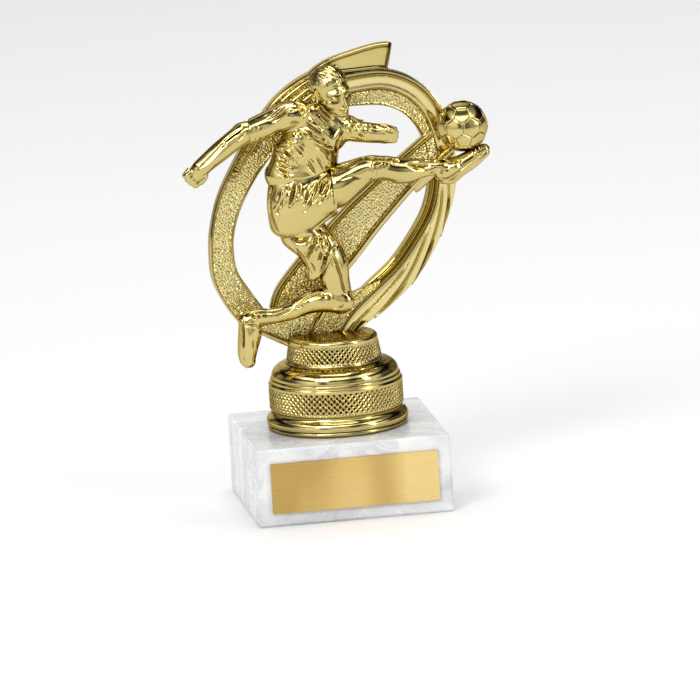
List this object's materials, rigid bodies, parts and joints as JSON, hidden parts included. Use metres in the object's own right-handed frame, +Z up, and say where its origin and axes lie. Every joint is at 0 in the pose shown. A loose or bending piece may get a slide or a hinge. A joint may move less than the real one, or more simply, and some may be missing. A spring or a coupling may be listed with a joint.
{
  "type": "figure trophy",
  "caption": "Gold football-player figure with a swirl ring and ball on a knurled riser, bolted to a square marble block with a blank plate.",
  "frame": {"origin": "centre of the marble block's underside", "axes": "+Z up through the stud, the player and the plate face -Y, the kicking leg points to +X"},
  "size_m": [0.1101, 0.0712, 0.1638],
  "materials": {
    "marble": "polished",
    "adhesive": "matt foam",
    "plate_metal": "brushed gold anodised",
    "nut_metal": "bright zinc plated",
    "stud_metal": "yellow zinc plated",
    "gold_plastic": "vacuum metallised gold"
  },
  "bodies": {
    "base": {"marble_base": "marble", "plate_adhesive": "adhesive", "name_plate": "plate_metal"},
    "nut": {"flange_nut": "nut_metal"},
    "stud": {"threaded_stud": "stud_metal"},
    "figure": {"anchor_nut": "nut_metal", "riser_core": "gold_plastic", "riser_rim": "gold_plastic", "riser_drum": "gold_plastic", "riser_neck": "gold_plastic", "ring_left": "gold_plastic", "ring_right": "gold_plastic", "ring_fin": "gold_plastic", "banner": "gold_plastic", "banner_foot": "gold_plastic", "player_front_shell": "gold_plastic", "player_back_shell": "gold_plastic", "ball": "gold_plastic"}
  },
  "joints": [
    {"name": "nut_turn", "type": "hinge", "parent": "base", "child": "nut", "pos_m": [0, 0, 0.015], "axis": [0, 0, 1], "continuous": true},
    {"name": "figure_lift", "type": "slide", "parent": "base", "child": "stud", "axis": [0, 0, 1], "range_m": [0, 0.04]},
    {"name": "figure_turn", "type": "hinge", "parent": "stud", "child": "figure", "pos_m": [0, 0, 0.028], "axis": [0, 0, 1], "continuous": true}
  ]
}
